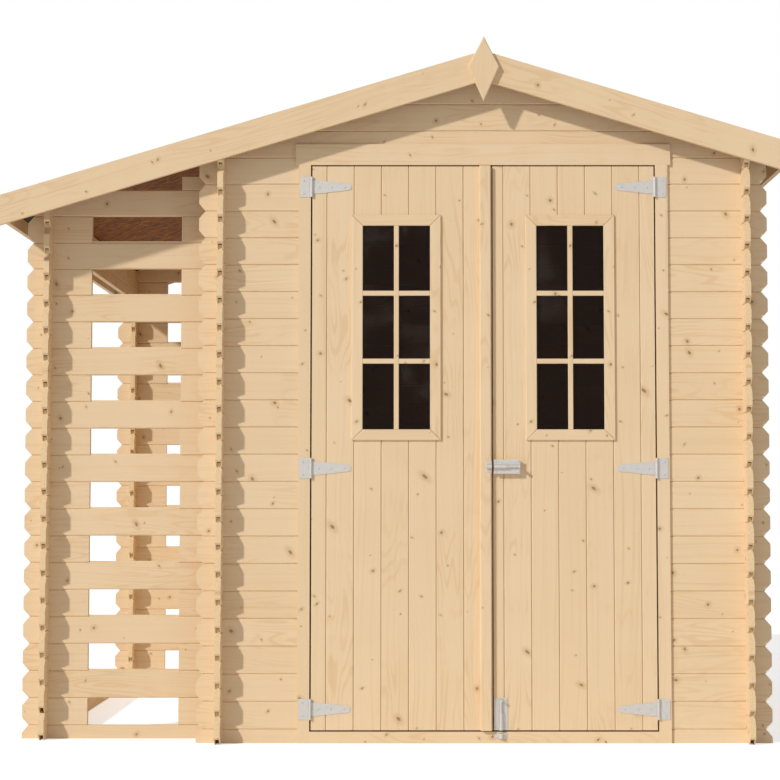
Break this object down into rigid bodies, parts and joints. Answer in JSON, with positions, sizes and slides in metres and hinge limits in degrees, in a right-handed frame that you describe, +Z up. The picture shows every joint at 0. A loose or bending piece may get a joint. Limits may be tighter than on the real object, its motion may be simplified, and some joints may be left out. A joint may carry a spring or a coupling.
{
  "type": "garden shed with log store",
  "caption": "Log-cabin style garden shed with glazed double doors under a low ridged roof, and an open-sided, slatted log store along its left wall.",
  "frame": {"origin": "centre of the bounding box on the ground", "axes": "+Z up, -Y out of the glazed doors, +X towards the viewer's right, away from the log store"},
  "size_m": [2.548, 2.282, 2.2681],
  "materials": {
    "board timber": "planed softwood, unpainted",
    "trim timber": "planed softwood, unpainted",
    "roof board": "strand board, rough",
    "roofing felt": "matte mineral felt",
    "window glass": "clear, flat",
    "galvanised steel": "dull zinc"
  },
  "bodies": {
    "shed": {"front_wall_left": "board timber", "front_wall_right": "board timber", "front_gable": "board timber", "rear_wall": "board timber", "left_wall": "board timber", "right_wall": "board timber", "store_front_boards": "board timber", "store_front_blocks": "board timber", "store_rear_boards": "board timber", "store_rear_blocks": "board timber", "store_front_corner_boards": "board timber", "store_rear_corner_boards": "board timber", "store_low_rail": "board timber", "store_top_beam": "board timber", "ridge_beam": "board timber", "purlins": "board timber", "roof_deck_left": "roof board", "roof_deck_right": "roof board", "roof_felt_left": "roofing felt", "roof_felt_right": "roofing felt", "eaves_trims": "trim timber", "front_fascia_left": "trim timber", "front_fascia_right": "trim timber", "front_finial": "trim timber", "rear_fascia_left": "trim timber", "rear_fascia_right": "trim timber", "rear_finial": "trim timber", "door_jambs": "trim timber", "door_head": "trim timber", "door_threshold": "trim timber", "left_hinge_plates": "galvanised steel", "right_hinge_plates": "galvanised steel", "foot_bolt_keeper": "galvanised steel"},
    "left_leaf": {"left_leaf_boards": "board timber", "left_leaf_ledges": "trim timber", "left_window_trim": "trim timber", "cover_strip": "trim timber", "left_window_glass": "window glass", "left_hinge_straps": "galvanised steel", "pad_bolt_keeper": "galvanised steel"},
    "right_leaf": {"right_leaf_boards": "board timber", "right_leaf_ledges": "trim timber", "right_window_trim": "trim timber", "pad_bolt_packer": "trim timber", "right_window_glass": "window glass", "right_hinge_straps": "galvanised steel", "pad_bolt_plate": "galvanised steel", "foot_bolt_plate": "galvanised steel"},
    "pad_bolt_bar": {"pad_bolt": "galvanised steel"},
    "foot_bolt_bar": {"foot_bolt": "galvanised steel"}
  },
  "joints": [
    {"name": "left_door_hinge", "type": "hinge", "parent": "shed", "child": "left_leaf", "pos_m": [-0.2675, -1.0543, 0], "axis": [0, 0, -1], "range_deg": [0, 160]},
    {"name": "right_door_hinge", "type": "hinge", "parent": "shed", "child": "right_leaf", "pos_m": [0.8475, -1.0543, 0], "axis": [0, 0, 1], "range_deg": [0, 160]},
    {"name": "pad_bolt_slide", "type": "slide", "parent": "right_leaf", "child": "pad_bolt_bar", "axis": [-1, 0, 0], "range_m": [0, 0.03]},
    {"name": "foot_bolt_slide", "type": "slide", "parent": "right_leaf", "child": "foot_bolt_bar", "axis": [0, 0, -1], "range_m": [0, 0.032]}
  ]
}
